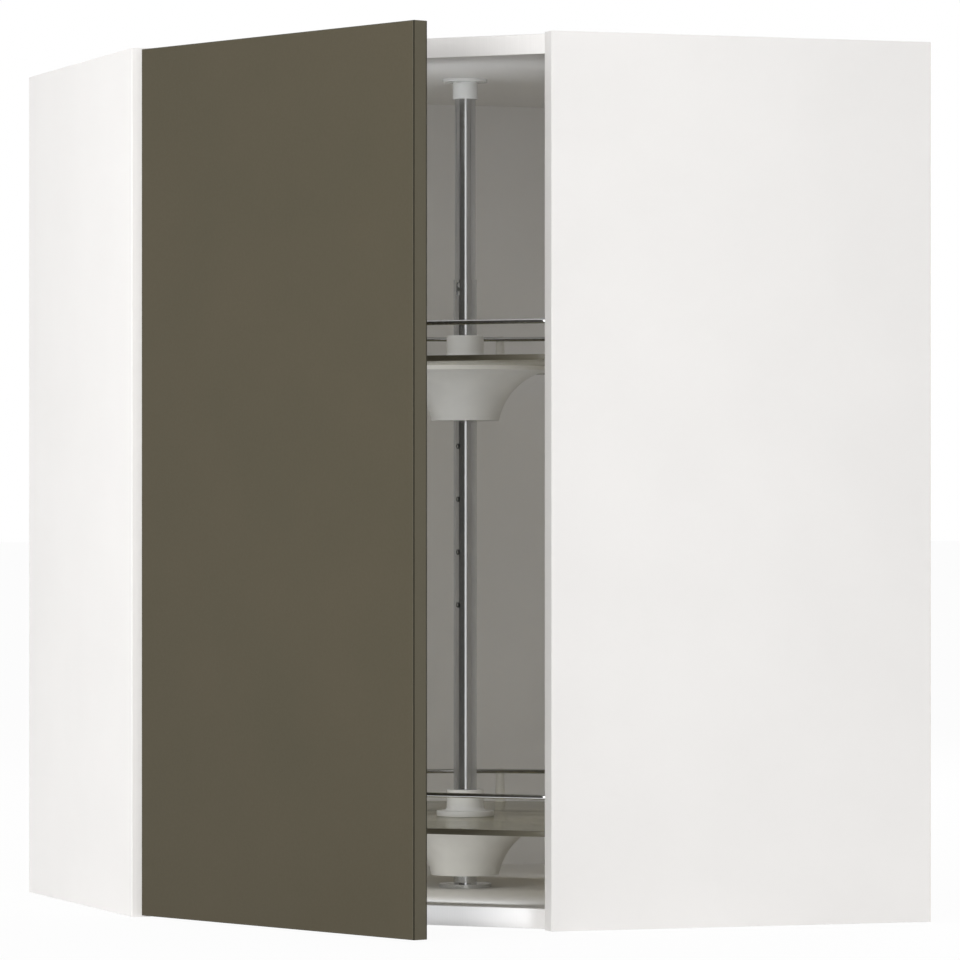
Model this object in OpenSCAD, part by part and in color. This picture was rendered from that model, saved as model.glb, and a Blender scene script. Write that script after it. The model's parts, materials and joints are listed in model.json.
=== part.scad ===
// Diagonal-front corner wall cabinet with a hinged door and a two-tray carousel.
// +Z is up. The origin is on the underside, on the axis of the carousel pole.
// The room's walls are at +X and +Y, and the door faces the diagonal between -X and -Y.

/* [Carcass] */
// Length of the cabinet along each wall, from the room's corner
reach = 668; // [640:1:720]
// Depth of each side panel
side_d = 367; // [350:1:380]
// Height of the cabinet
cabinet_h = 800; // [720:1:1000]
// Thickness of the side, top and bottom panels
board_t = 18; // [16:0.5:20]
// Thickness of the edging on the panels' front edges
edging_t = 1; // [0.6:0.1:2]
// How far the edging's outer corners are rounded
edging_round = 0.7; // [0.2:0.1:1]
// How far the top and bottom panels' front edges lie behind the line between the outer front corners
front_setback = 26.4; // [25:0.1:30]
// How far the pole stands behind the middle of the cabinet's reach
pole_shift = 4; // [0:0.5:8]

/* [Back] */
// Thickness of the back panels
back_t = 3; // [2.5:0.1:4]
// Distance from the wall to the back panels' rear faces
back_inset = 14; // [12:0.5:18]
// Depth of the grooves that hold the back panels
groove_d = 8; // [5:0.5:9]
// Clearance of a back panel in its groove, on each side
groove_gap = 0.1; // [0.05:0.05:0.2]
// Wall thickness of the corner strip that joins the back panels
strip_wall = 2.4; // [1.5:0.1:3]
// Depth of the corner strip's slots
strip_grip = 7; // [5:0.5:10]

/* [Panel joints] */
// Diameter of the dowels
dowel_dia = 8; // [6:0.5:8]
// Length of the dowels
dowel_len = 30; // [26:1:34]
// Depth of the dowel and bolt holes in the side panels
side_hole_d = 12; // [10:0.5:13]
// Diameter of the cam locks
cam_dia = 15; // [12:0.5:16]
// Height of the cam locks
cam_h = 12; // [10:0.5:13]
// Distance from a side panel's inner face to a cam lock's axis
cam_reach = 34; // [30:0.5:40]
// Diameter of the cam bolts
cam_bolt_dia = 6; // [5:0.5:7]
// Distance of the dowels from the ends of a joint
dowel_in = 95; // [80:1:120]
// Distance of the cam locks from the ends of a joint
cam_in = 45; // [35:1:60]

/* [Hanging brackets] */
// Sheet thickness of the hanging brackets
bracket_t = 2; // [1.5:0.1:3]
// Height of the hanging brackets
bracket_h = 46; // [40:1:60]
// Length of a bracket's leg along the side panel
bracket_side_leg = 44; // [40:1:60]
// Length of a bracket's leg along the back panel
bracket_back_leg = 38; // [32:1:50]
// Radius of the hole for the wall rail's bolt
hang_hole_r = 4.5; // [4:0.1:6]
// Distance of that hole from the side panel's inner face
hang_hole_in = 22; // [18:0.5:24]
// Distance of the bracket's top from the top panel
bracket_drop = 6; // [4:0.5:20]

/* [Door] */
// Thickness of the door
door_t = 16; // [16:0.5:20]
// Gap between the door's ends and the cabinet's top and underside planes
door_reveal = 1.5; // [1:0.1:4]
// Gap between the shut door and the front edges of the top and bottom panels
door_gap = 1.5; // [1.2:0.1:2.5]
// Gap between the door's free edge and the right side panel's inner corner
door_side_gap = 1.6; // [1:0.1:3]
// Rounding of the door's edges
door_round = 1.2; // [0.5:0.1:3]
// Angle by which the door stands open in this model
door_rest = 24.7; // [0:0.1:70]
// Thickness of the bumpers on the door
bumper_t = 1.2; // [0.6:0.1:1.2]
// Radius of the bumpers
bumper_r = 4.5; // [3:0.5:6]

/* [Hinges] */
// Distance from the door's ends to the hinges' middle
hinge_end = 100; // [80:1:200]
// Depth of the hinges' virtual axis behind the side panel's front edge
pivot_in = 15.7; // [15:0.1:18]
// Room between the turning door edge and the side panel's front corners
swing_gap = 1; // [0.6:0.1:1.5]
// Radius of the hinge cups
cup_r = 17.5; // [16:0.5:18]
// Depth of the hinge cups
cup_d = 12; // [11:0.1:12.5]
// Distance from the door's edge to a cup's centre
cup_edge = 21.5; // [20.5:0.1:23]
// Wall thickness of the hinge cups
cup_wall = 0.8; // [0.6:0.1:1]
// Thickness of a cup's flange
flange_t = 1.2; // [0.8:0.1:1.5]
// Spacing of the two screws of a cup
cup_screw_gap = 45; // [42:1:48]
// Distance of those screws behind the cup's centre
cup_screw_in = 9.5; // [8:0.5:11]
// Radius of the curved link's middle line about the door's axis
link_r = 35; // [34:0.1:36]
// Width of the link
link_w = 4; // [3:0.1:5]
// Height of the link
link_h = 8; // [6:0.5:9]
// Clearance of the link in the arm's shoe
shoe_gap = 0.3; // [0.2:0.05:0.5]
// Wall thickness of the shoe
shoe_wall = 3; // [2:0.1:4]
// Sheet thickness of the arm
arm_t = 2; // [1.5:0.1:2.5]
// Gap between the link and the arm's cheeks, above and below
cheek_gap = 0.5; // [0.4:0.1:1]
// Depth behind the side panel's front edge at which the arm's channel starts
arm_start = 55; // [54:0.5:60]
// Length of the arm's channel
arm_len = 30; // [26:0.5:40]
// Thickness of the mounting plates' wings
plate_t = 1.8; // [1.5:0.1:2]
// Height of the mounting plates' block
plate_block_h = 4; // [3:0.1:5]
// Vertical spacing of a mounting plate's two screws
plate_screw_gap = 32; // [30:1:36]
// Distance of those screws behind the side panel's front edge
plate_screw_in = 37; // [34:1:42]

/* [Pole] */
// Radius of the lower tube
pole_r = 11; // [10:0.1:12]
// Wall thickness of the lower tube
pole_wall = 1.1; // [1:0.1:1.5]
// Top of the lower tube above the cabinet's underside
pole_lower_top = 592.6; // [560:0.1:620]
// Radial clearance of the upper tube in the lower tube
pole_slide_gap = 0.1; // [0.05:0.01:0.2]
// Length of the upper tube inside the lower tube
pole_overlap = 60; // [40:1:75]
// Wall thickness of the upper tube
pole_upper_wall = 1.1; // [0.8:0.1:1.5]
// Radius of the peg holes
peg_hole_r = 2.55; // [2:0.05:3]
// Height of the lowest of the evenly spaced peg holes
peg_first = 285; // [260:1:300]
// Spacing of the peg holes
peg_pitch = 50; // [40:1:60]
// Number of evenly spaced peg holes
peg_count = 5; // [3:1:5]
// Direction that the peg holes face, from +X
peg_az = -147; // [-180:1:-100]
// Height of the lock slot
slot_h = 13; // [10:0.5:16]
// Width of the lock slot
slot_w = 4; // [3:0.1:5]
// Distance from the lower tube's top to the lock slot's middle
slot_drop = 9; // [8.5:0.5:12]
// Radius of the base disc
base_r = 24.7; // [22:0.1:30]
// Thickness of the base disc
base_t = 3.5; // [2.5:0.1:5]
// Radius of the plate under the ceiling
plate_r = 21; // [20:0.1:28]
// Thickness of the plate under the ceiling
plate_thick = 2.5; // [2:0.1:4]
// Outer radius of the white top cap
cap_r = 11.7; // [11.6:0.1:14]
// Height of the white top cap below the plate
cap_h = 16; // [12:0.5:24]

/* [Trays] */
// Height of the lower tray's top
lower_tray_z = 85.5; // [80:0.1:120]
// Height of the upper tray's top
upper_tray_z = 514.7; // [480:0.1:530]
// Thickness of the trays
tray_t = 5; // [4:0.1:8]
// Gap between the trays' round edge and the side panels
tray_side_gap = 40; // [34:1:60]
// Distance from the panels' front edge back to the trays' flat edge
tray_front_gap = 25.7; // [20:0.1:40]
// Corner radius of the trays
tray_corner = 20; // [18:1:40]
// Distance from the trays' edge to the rail's middle line
rail_in = 11; // [9:0.1:14]
// Height of the rail's middle line above the trays
rail_up = 30.1; // [25:0.1:60]
// Radius of the rail's wire
wire_r = 2.2; // [2:0.1:3]
// Radius of the rail posts at the top
post_r = 4; // [3.8:0.1:5]
// Radius of the rail posts at the foot
post_base_r = 4.9; // [4.5:0.1:5.4]
// Radius of the foot of a rail post
foot_r = 6; // [5.5:0.1:7]
// Height of the foot of a rail post
foot_h = 1.6; // [1.5:0.1:5]

/* [Tray hubs] */
// Radial running clearance of the hubs on the pole
hub_gap = 0.06; // [0.03:0.01:0.1]
// Outer radius of the collars
collar_r = 17.5; // [16:0.1:19]
// Height of the collars above the trays
collar_h = 25; // [18:0.5:40]
// Radius of the collars' flange
collar_flange_r = 27; // [26:0.1:34]
// Thickness of the collars' flange
collar_flange_t = 5; // [4:0.1:8]
// Fillet between a collar and its flange
collar_fillet = 4; // [3:0.1:7]
// Radius of the funnels' flat rim
rim_r = 90; // [84:0.5:100]
// Thickness of the funnels' rim
rim_t = 4; // [3:0.1:7]
// Radius of the funnels at the bottom
throat_r = 32; // [28:0.5:38]
// Height of the funnels below the trays
funnel_h = 50.5; // [46:0.1:55]
// Wall thickness of the funnels
funnel_wall = 2.5; // [1.5:0.1:3.5]
// Outer radius of the hub inside the funnels
hub_r = 17; // [15:0.5:19]
// Number of ribs inside each funnel
rib_count = 6; // [3:1:12]
// Distance from a tray's top down to its cross pin
pin_drop = 29.7; // [27:0.1:34]
// Radius of the cross pins
pin_r = 2.5; // [2:0.05:2.5]
// Height of the thrust rings
ring_h = 6; // [4:0.5:8]
// Running clearance between a thrust ring and the hub above it
ring_gap = 0.2; // [0.1:0.05:0.3]

/* [Hidden] */

$fn = 64;
seat = 0.05;          // clearance of a screw, pin or plug in its hole
deep = 1;             // how far a cut runs past the face that it opens
bevel = 1;            // bevel or step on small turned parts
under_head = 0.3;     // sheet left under a countersunk head
cross_w = 0.8;        // width of the slots in screw heads
cross_share = 0.6;    // reach of those slots as a share of the head's radius

// Main planes, measured from the pole's axis
pole_in = reach / 2 + pole_shift;    // to the outer faces of the side panels
wall = reach - pole_in;              // to the room's walls
inner = pole_in - board_t;           // to the inner faces of the side panels
side_front = wall - side_d;          // front edge of the left side panel, on Y
ceiling = cabinet_h - board_t;       // underside of the top panel
front_line = (pole_in - side_front) / sqrt(2);    // to the line between the outer front corners
front_len = sqrt(2) * (reach - side_d);           // length of that line
panel_front = front_line - front_setback;         // to the front edges of the top and bottom panels
back_rear = wall - back_inset;                    // rear face of the back panels
back_front = back_rear - back_t;                  // front face of the back panels

// Panel joints: places along the joint, from the wall
joint_len = wall - inner + panel_front * sqrt(2);    // from the wall to the panels' front corner
dowel_at = [dowel_in, joint_len - dowel_in];
cam_at = [cam_in, joint_len - cam_in];
board_mid = board_t / 2;
joint_levels = [board_mid, cabinet_h - board_mid];
cam_sink = 0.2;       // from a cam's slotted end to the panel's face
cam_slot_w = 2;
cam_slot_d = 2;
cam_bore_gap = 0.15;  // clearance of the bolt in the cam's mouth
bolt_neck = 1;        // how much the radius of a cam bolt's neck is smaller
bolt_head_h = 3;

// Door and the virtual axis of its hinges, in the front's own frame:
// s runs along the front from left to right, q runs inwards from the front line
pivot_s = (board_mid - pivot_in) / sqrt(2);
pivot_q = (board_mid + pivot_in) / sqrt(2);
door_left = pivot_s + sqrt(board_mid * board_mid + pivot_in * pivot_in) + swing_gap;
door_right = front_len - board_t / sqrt(2) - door_side_gap;
door_back = front_setback - door_gap;
door_front = door_back - door_t;
door_h = cabinet_h - 2 * door_reveal;
cup_s = door_left + cup_edge;
hinge_levels = [door_reveal + hinge_end, cabinet_h - door_reveal - hinge_end];
bumper_in = 3 * bumper_r;    // from the door's free edge to a bumper's centre
cup_screw_r = 1.75;
cup_screw_head_r = 3.4;
cup_screw_len = 12;
flange_over = 2;      // how far a cup's flange reaches past the cup
cup_wing_w = 12;      // width of the flange's wing with the two screws

// Link and shoe, as angles about the virtual axis in the front's own frame with the door shut
link_tail = 113;
shoe_from = 14;
shoe_to = 24;
link_foot = link_w / 2 + bevel;
link_lap = 2;         // how far the link's foot runs past the axis of its pin
ear_t = 1.6;
ear_gap = 0.2;
link_pin_r = 1.5;
cheek_in = link_h / 2 + cheek_gap;
plate_play = 0.3;     // between the mounting plate's block and the arm's cheeks
plate_half = cheek_in - plate_play;
plate_margin = 2;     // sheet around the heads of the mounting plate's screws
arm_play = 0.2;       // between the arm and the mounting plate's faces
channel_top = plate_t + plate_block_h + arm_t + arm_play;
block_back = 1;       // how far the plate's block starts behind the arm's channel
elbow_out = 12;       // how far the cheeks' elbow stands off the channel
cheek_lead = 2;       // how far the cheeks' foot runs ahead of the channel
plate_screw_r = 2.5;
plate_screw_head_r = 4;
plate_screw_len = 13;
arm_screw_r = 2;
arm_screw_head_h = 2;

// Hanging brackets
bracket_top = ceiling - bracket_drop;
bracket_low = bracket_top - bracket_h;
hang_hole_z = bracket_low + bracket_h / 2;
back_hole_r = 2 * hang_hole_r;                 // hole in the back panel behind the bracket's
bracket_screw_in = 0.6 * bracket_side_leg;     // from the back panel to the bracket's screws
bracket_screw_step = bracket_h / 3;
bracket_screw_r = 2.5;
bracket_screw_head_r = 4.5;
bracket_screw_head_h = 2.4;
bracket_screw_len = 13;

// Pole
tube_foot = board_t + base_t;
lower_bore = pole_r - pole_wall;
upper_r = lower_bore - pole_slide_gap;
upper_bore = upper_r - pole_upper_wall;
plate_under = ceiling - plate_thick;
cap_under = plate_under - cap_h;
spigot_h = 22;
plate_spigot_h = 12;
small_screw_r = 1.75;
small_screw_head_r = 3.2;
small_screw_len = 12;
base_screw_r = (base_r + pole_r) / 2;
plate_screw_ring = (plate_r + cap_r) / 2;
ring_turn = 75;       // direction of the first of the three screws around the pole
slot_mid = pole_lower_top - slot_drop;
lock_r = 1.5;         // thread of the lock screw
lock_play = 0.2;      // between the lock screw's head and the slot
cap_notch_w = 6;
cap_notch_h = 1.2;
cap_notch_wall = 0.6;

// Trays
tray_r = inner - tray_side_gap;
tray_flat = panel_front - tray_front_gap;
rail_r = tray_r - rail_in;
rail_flat = tray_flat - rail_in;
rail_bend = tray_corner - rail_in;
post_out = 3;         // from the rail's middle line out to the posts
post_over = 1;        // height of a post above its rail
post_top = rail_up + wire_r + post_over;
post_spigot_r = post_r - bevel;
rail_x = sqrt(pow(rail_r - rail_bend, 2) - pow(rail_flat - rail_bend, 2));
rail_turn = -atan2(rail_flat - rail_bend, rail_x);
post_off = 6;         // angle from the rail's bend to the front posts
front_post = rail_turn + post_off;
post_angles = [front_post, 15, 71.6, 108.4, 165, 180 - front_post];
bend_lap = 1;
bend_slim = 0.02;
hub_bore = pole_r + hub_gap;
ring_r = hub_r - bevel / 2;
screw_ring = (hub_r + collar_flange_r) / 2;
tray_screw_turn = 20;
tray_screw_r = 1.75;
tray_screw_head_r = 3.2;
tray_screw_head_h = 2.2;
tray_screw_bite = 3.5;
tray_screw_end = 0.2; // from a screw's tip to the end of its hole
web_t = 4;
rim_w = 22;           // width of the flat rim around the funnel's mouth
web_in = 10;          // from the rim's edge to the web's edge
rib_t = 2;
rib_depth = 10;       // depth of the ribs below the web
rib_turn = 50;        // direction of the first rib

white = [0.93, 0.93, 0.92];
edging_white = [0.85, 0.85, 0.83];
olive = [0.37, 0.35, 0.29];
steel = [0.62, 0.63, 0.64];
chrome = [0.78, 0.79, 0.8];
pale = [0.8, 0.79, 0.76];
smoke = [0.42, 0.4, 0.33, 0.6];
grey = [0.45, 0.45, 0.44];
beech = [0.76, 0.62, 0.42];

// Swaps X and Y, which maps the left half of the cabinet onto the right half
module swapped() {
    mirror([1, -1, 0]) children();
}

// Frame of the diagonal front: X is s, Y is q
module at_front() {
    translate([-pole_in, side_front, 0]) rotate([0, 0, -45]) children();
}

// Frame of the left side panel's inner face: X points into the cabinet, Y back from its front edge
module at_left_face(z) {
    translate([-inner, side_front, z]) children();
}

// The pieces of the door, turned open by the rest angle about the virtual axis
module door_turned() {
    at_front() translate([pivot_s, pivot_q, 0]) rotate([0, 0, -door_rest])
        translate([-pivot_s, -pivot_q, 0]) children();
}

// A rectangle with rounded corners
module rounded_rect(w, h, r) {
    translate([r, 0]) square([w - 2 * r, h]);
    translate([0, r]) square([w, h - 2 * r]);
    for (x = [r, w - r], y = [r, h - r]) translate([x, y]) circle(r);
}

// Edging profile: X across the board, Y outwards, with the outer corners rounded
module edging_profile() {
    intersection() {
        square([board_t, edging_t]);
        translate([0, -board_t]) rounded_rect(board_t, board_t + edging_t, edging_round);
    }
}

// Countersunk screw along +Z with the head's top at z = 0
module screw(r, len, head_r, head_h) {
    translate([0, 0, -len]) cylinder(r = r, h = len);
    translate([0, 0, -head_h]) cylinder(r1 = r, r2 = head_r, h = head_h);
}

// Hole from z = 0 downwards for a screw, bolt or dowel
module hole(r, len) {
    translate([0, 0, -len - seat]) cylinder(r = r + seat, h = len + seat + deep);
}

// Hole and countersink for a screw whose head's top is at z = 0
module countersink(r, len, head_r, head_h) {
    hole(r, len);
    translate([0, 0, -head_h - seat]) cylinder(r1 = r + seat, r2 = head_r + seat, h = head_h + seat);
    translate([0, 0, -seat]) cylinder(r = head_r + seat, h = deep);
}

// Pan-headed screw along +Z with its bearing face at z = 0, and a cross slot in the head
module pan_screw(r, len, head_r, head_h) {
    slot_r = cross_share * head_r;
    translate([0, 0, -len]) cylinder(r = r, h = len + head_h / 2);
    difference() {
        cylinder(r = head_r, h = head_h);
        for (a = [0, 90]) rotate([0, 0, a])
            translate([-slot_r, -cross_w / 2, head_h / 2]) cube([2 * slot_r, cross_w, head_h]);
    }
}

// Places of the left side's panel joints: +Z points into the cabinet, z = 0 on the side panel's face
module at_joints(along) {
    for (z = joint_levels, y = along) translate([-inner, wall - y, z]) rotate([0, 90, 0]) children();
}

// Places of the screws of the left hinges' mounting plates: +Z points out of the side panel
module at_plate_screws() {
    for (z = hinge_levels, dz = [-1, 1] * plate_screw_gap / 2)
        at_left_face(z + dz) translate([plate_t, plate_screw_in, 0]) rotate([0, 90, 0]) children();
}

// Left side board: groove for the back, holes for the dowels, cam bolts and bracket screws
module side_board() {
    difference() {
        translate([-pole_in, side_front + edging_t, 0]) cube([board_t, side_d - edging_t, cabinet_h]);
        translate([-inner - groove_d, back_front - groove_gap, board_t - groove_d])
            cube([groove_d + deep, back_t + 2 * groove_gap, ceiling - board_t + 2 * groove_d]);
        at_joints(dowel_at) hole(dowel_dia / 2, side_hole_d);
        at_joints(cam_at) hole(cam_bolt_dia / 2, side_hole_d);
        bracket_screw_places() hole(bracket_screw_r, bracket_screw_len);
    }
}

// The left side panel also has the holes of the hinges' mounting plates
module side_panel_left() {
    color(white) difference() {
        side_board();
        at_plate_screws() hole(plate_screw_r, plate_screw_len);
    }
}

module side_panel_right() {
    color(white) swapped() side_board();
}

module side_edging_left() {
    color(edging_white) translate([-pole_in, side_front + edging_t, 0]) mirror([0, 1, 0])
        linear_extrude(cabinet_h) edging_profile();
}

module side_edging_right() {
    swapped() side_edging_left();
}

// Outline of the top and bottom panels, less their front edging
module floor_outline() {
    front = panel_front - edging_t;
    corner = front * sqrt(2) - inner;
    polygon([[-inner, -corner], [-corner, -inner], [wall, -inner], [wall, wall], [-inner, wall]]);
}

// A bottom panel: its L-shaped groove for the back panels, the cam locks' pockets, and the holes
// for the cam bolts, the dowels and the screws around the pole
module floor_panel(screws_r) {
    slot_in = back_front - groove_gap;
    slot_out = back_rear + groove_gap;
    difference() {
        linear_extrude(board_t) floor_outline();
        translate([0, 0, board_t - groove_d]) linear_extrude(groove_d + deep)
            polygon([[-inner - deep, slot_in], [slot_in, slot_in], [slot_in, -inner - deep],
                     [slot_out, -inner - deep], [slot_out, slot_out], [-inner - deep, slot_out]]);
        for (m = [0, 1]) mirror([m, -m, 0]) {
            for (y = dowel_at) translate([-inner, wall - y, board_mid]) rotate([0, -90, 0])
                hole(dowel_dia / 2, dowel_len - side_hole_d);
            for (y = cam_at) {
                translate([-inner, wall - y, board_mid]) rotate([0, -90, 0])
                    hole(cam_bolt_dia / 2, cam_reach);
                translate([-inner + cam_reach, wall - y, 0]) mirror([0, 0, 1]) hole(cam_dia / 2, cam_h);
            }
        }
        at_ring(screws_r) translate([0, 0, board_t]) hole(small_screw_r, small_screw_len);
    }
}

module bottom_panel() {
    color(white) floor_panel(base_screw_r);
}

// The top panel is the bottom panel upside down
module top_panel() {
    color(white) translate([0, 0, cabinet_h]) mirror([0, 0, 1]) floor_panel(plate_screw_ring);
}

// Edging along the diagonal front edge, ending against the side panels
module floor_edging(z) {
    half = inner * sqrt(2) - panel_front + board_t;
    color(edging_white) intersection() {
        rotate([0, 0, -45]) translate([-half, -panel_front + edging_t, z])
            rotate([0, -90, 180]) linear_extrude(2 * half) edging_profile();
        translate([-inner, -inner, z]) cube([2 * inner, 2 * inner, board_t]);
    }
}

module top_edging() {
    floor_edging(ceiling);
}

module bottom_edging() {
    floor_edging(0);
}

// Back panel between the left side panel's groove and the corner strip
module back_panel_left() {
    x_start = -inner - groove_d + 2 * groove_gap;
    x_end = back_front - strip_wall - groove_gap;
    low = board_t - groove_d + 2 * groove_gap;
    color(white) difference() {
        translate([x_start, back_front, low]) cube([x_end - x_start, back_t, cabinet_h - 2 * low]);
        translate([-inner + hang_hole_in, back_front - deep, hang_hole_z]) rotate([-90, 0, 0])
            cylinder(r = back_hole_r, h = back_t + 2 * deep);
    }
}

module back_panel_right() {
    swapped() back_panel_left();
}

// Plastic strip in the corner, with one slot for each back panel
module back_corner_strip() {
    near = back_front - strip_wall;
    start = near - strip_grip - strip_wall;
    width = back_rear + strip_wall - near;
    run = near + width - start;
    color(pale) translate([0, 0, board_t]) linear_extrude(ceiling - board_t) difference() {
        union() {
            translate([start, near]) square([run, width]);
            translate([near, start]) square([width, run]);
        }
        for (m = [0, 1]) mirror([m, -m]) translate([start - deep, back_front - groove_gap])
            square([near - start + deep, back_t + 2 * groove_gap]);
    }
}

module panel_dowels() {
    color(beech) for (m = [0, 1]) mirror([m, -m, 0]) at_joints(dowel_at)
        translate([0, 0, -side_hole_d + seat]) cylinder(r = dowel_dia / 2, h = dowel_len - 2 * seat);
}

// Cam locks, sunk a little below the outer faces of the top and bottom panels
module cam_locks() {
    color(steel) for (m = [0, 1]) mirror([m, -m, 0]) for (y = cam_at, up = [0, 1])
        translate([-inner + cam_reach, wall - y, joint_levels[up]]) mirror([0, 0, 1 - up])
            translate([0, 0, board_mid - cam_h]) cam_lock();
}

// One cam: a drum with a side mouth for the bolt's head and a slotted end
module cam_lock() {
    slot_len = cross_share * cam_dia;
    difference() {
        cylinder(r = cam_dia / 2, h = cam_h - cam_sink);
        translate([-cam_dia, 0, cam_h - board_mid]) rotate([0, 90, 0])
            cylinder(r = cam_bolt_dia / 2 + cam_bore_gap, h = cam_dia + cam_bolt_dia / 2);
        for (a = [45, 135]) rotate([0, 0, a]) translate([-slot_len / 2, -cam_slot_w / 2, cam_h - cam_slot_d])
            cube([slot_len, cam_slot_w, cam_slot_d]);
    }
}

// Cam bolts: a shank in the side panel, a neck and a head inside the cam
module cam_bolts() {
    shank_r = cam_bolt_dia / 2;
    neck_at = cam_reach - cam_dia / 2;
    color(steel) for (m = [0, 1]) mirror([m, -m, 0]) at_joints(cam_at) {
        translate([0, 0, -side_hole_d + seat]) cylinder(r = shank_r, h = side_hole_d - seat + neck_at);
        translate([0, 0, neck_at - seat]) cylinder(r = shank_r - bolt_neck, h = cam_dia / 2 + seat);
        translate([0, 0, cam_reach - bolt_head_h / 2]) cylinder(r = shank_r, h = bolt_head_h);
    }
}

// Places of the left hanging bracket's screws: +Z points into the cabinet, z = 0 on the panel's face
module bracket_screw_places() {
    for (dz = [-1, 1] * bracket_screw_step)
        translate([-inner, back_front - bracket_screw_in, hang_hole_z + dz]) rotate([0, 90, 0]) children();
}

// Angle bracket between the side panel and the back, with the hole for the wall rail's bolt
module hanging_bracket_left() {
    color(steel) difference() {
        union() {
            translate([-inner, back_front - bracket_side_leg, bracket_low])
                cube([bracket_t, bracket_side_leg, bracket_h]);
            translate([-inner, back_front - bracket_t, bracket_low])
                cube([bracket_back_leg, bracket_t, bracket_h]);
        }
        translate([-inner + hang_hole_in, back_front - bracket_t - deep, hang_hole_z]) rotate([-90, 0, 0])
            cylinder(r = hang_hole_r, h = bracket_t + 2 * deep);
        bracket_screw_places() translate([0, 0, bracket_t]) hole(bracket_screw_r, bracket_screw_len);
    }
}

module hanging_bracket_right() {
    swapped() hanging_bracket_left();
}

module hanging_screws() {
    color(steel) for (m = [0, 1]) mirror([m, -m, 0]) bracket_screw_places() translate([0, 0, bracket_t])
        pan_screw(bracket_screw_r, bracket_screw_len, bracket_screw_head_r, bracket_screw_head_h);
}

// Mounting plate: wings with two screws, and a block further back that carries the arm
module hinge_plate(z) {
    wing_w = 2 * (plate_screw_head_r + plate_margin);
    wing_h = plate_screw_gap + wing_w;
    color(steel) difference() {
        at_left_face(z) union() {
            translate([0, plate_screw_in - wing_w / 2, -wing_h / 2]) cube([plate_t, wing_w, wing_h]);
            translate([0, plate_screw_in, -plate_half])
                cube([plate_t, arm_start + arm_len - plate_screw_in, 2 * plate_half]);
            translate([0, arm_start + block_back, -plate_half])
                cube([plate_t + plate_block_h, arm_len - block_back, 2 * plate_half]);
        }
        at_plate_screws()
            countersink(plate_screw_r, plate_screw_len, plate_screw_head_r, plate_t - under_head);
        at_left_face(z) translate([plate_t, arm_start + arm_len / 2, 0]) rotate([0, 90, 0])
            translate([0, 0, -plate_t - deep]) cylinder(r = arm_screw_r + seat, h = channel_top + 2 * deep);
    }
}

module hinge_plate_upper() {
    hinge_plate(hinge_levels[1]);
}

module hinge_plate_lower() {
    hinge_plate(hinge_levels[0]);
}

module hinge_plate_screws() {
    color(steel) at_plate_screws()
        screw(plate_screw_r, plate_screw_len, plate_screw_head_r, plate_t - under_head);
}

// Outline of the arm's cheeks, from the channel at the plate forward to the shoe by the door
module cheek_outline() {
    shoe_in = link_r - link_w / 2 - shoe_gap - shoe_wall;
    shoe_out = link_r + link_w / 2 + shoe_gap + shoe_wall;
    a0 = shoe_from - 45;
    a1 = shoe_to - 45;
    x = -board_mid;
    y = pivot_in;
    polygon([[x + shoe_in * cos(a0), y + shoe_in * sin(a0)],
             [x + shoe_out * cos(a0), y + shoe_out * sin(a0)],
             [x + shoe_out * cos(a1), y + shoe_out * sin(a1)],
             [channel_top + elbow_out, arm_start / 2],
             [channel_top, arm_start],
             [channel_top, arm_start + arm_len],
             [plate_t + arm_play, arm_start + arm_len],
             [plate_t + arm_play, arm_start - cheek_lead],
             [x + shoe_in * cos(a1), y + shoe_in * sin(a1)]]);
}

// Forked arm: two cheeks, the channel's web and the shoe that the link slides through
module hinge_arm(z) {
    ring_in = link_r - link_w / 2 - shoe_gap;
    ring_out = link_r + link_w / 2 + shoe_gap;
    span = 2 * cheek_in + arm_t;
    color(steel) at_left_face(z) {
        for (m = [0, 1]) mirror([0, 0, m]) translate([0, 0, cheek_in]) linear_extrude(arm_t) cheek_outline();
        difference() {
            translate([channel_top - arm_t, arm_start, -span / 2]) cube([arm_t, arm_len, span]);
            translate([0, arm_start + arm_len / 2, 0]) rotate([0, 90, 0])
                cylinder(r = arm_screw_r + seat, h = channel_top + deep);
        }
        translate([-board_mid, pivot_in, 0]) rotate([0, 0, shoe_from - 45])
            for (r = [ring_in - shoe_wall, ring_out]) rotate_extrude(angle = shoe_to - shoe_from, $fn = 96)
                translate([r, -span / 2]) square([shoe_wall, span]);
    }
}

module hinge_arm_upper() {
    hinge_arm(hinge_levels[1]);
}

module hinge_arm_lower() {
    hinge_arm(hinge_levels[0]);
}

module hinge_arm_screws() {
    color(steel) for (z = hinge_levels) at_left_face(z)
        translate([channel_top, arm_start + arm_len / 2, 0]) rotate([0, 90, 0])
            pan_screw(arm_screw_r, channel_top - deep, plate_screw_head_r, arm_screw_head_h);
}

// Places of the cups' screws: +Z points out of the door's back, z = 0 on the flange's outer face
module at_cup_screws() {
    for (z = hinge_levels, dz = [-1, 1] * cup_screw_gap / 2)
        translate([cup_s + cup_screw_in, door_back + flange_t, z + dz]) rotate([-90, 0, 0]) children();
}

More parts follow.
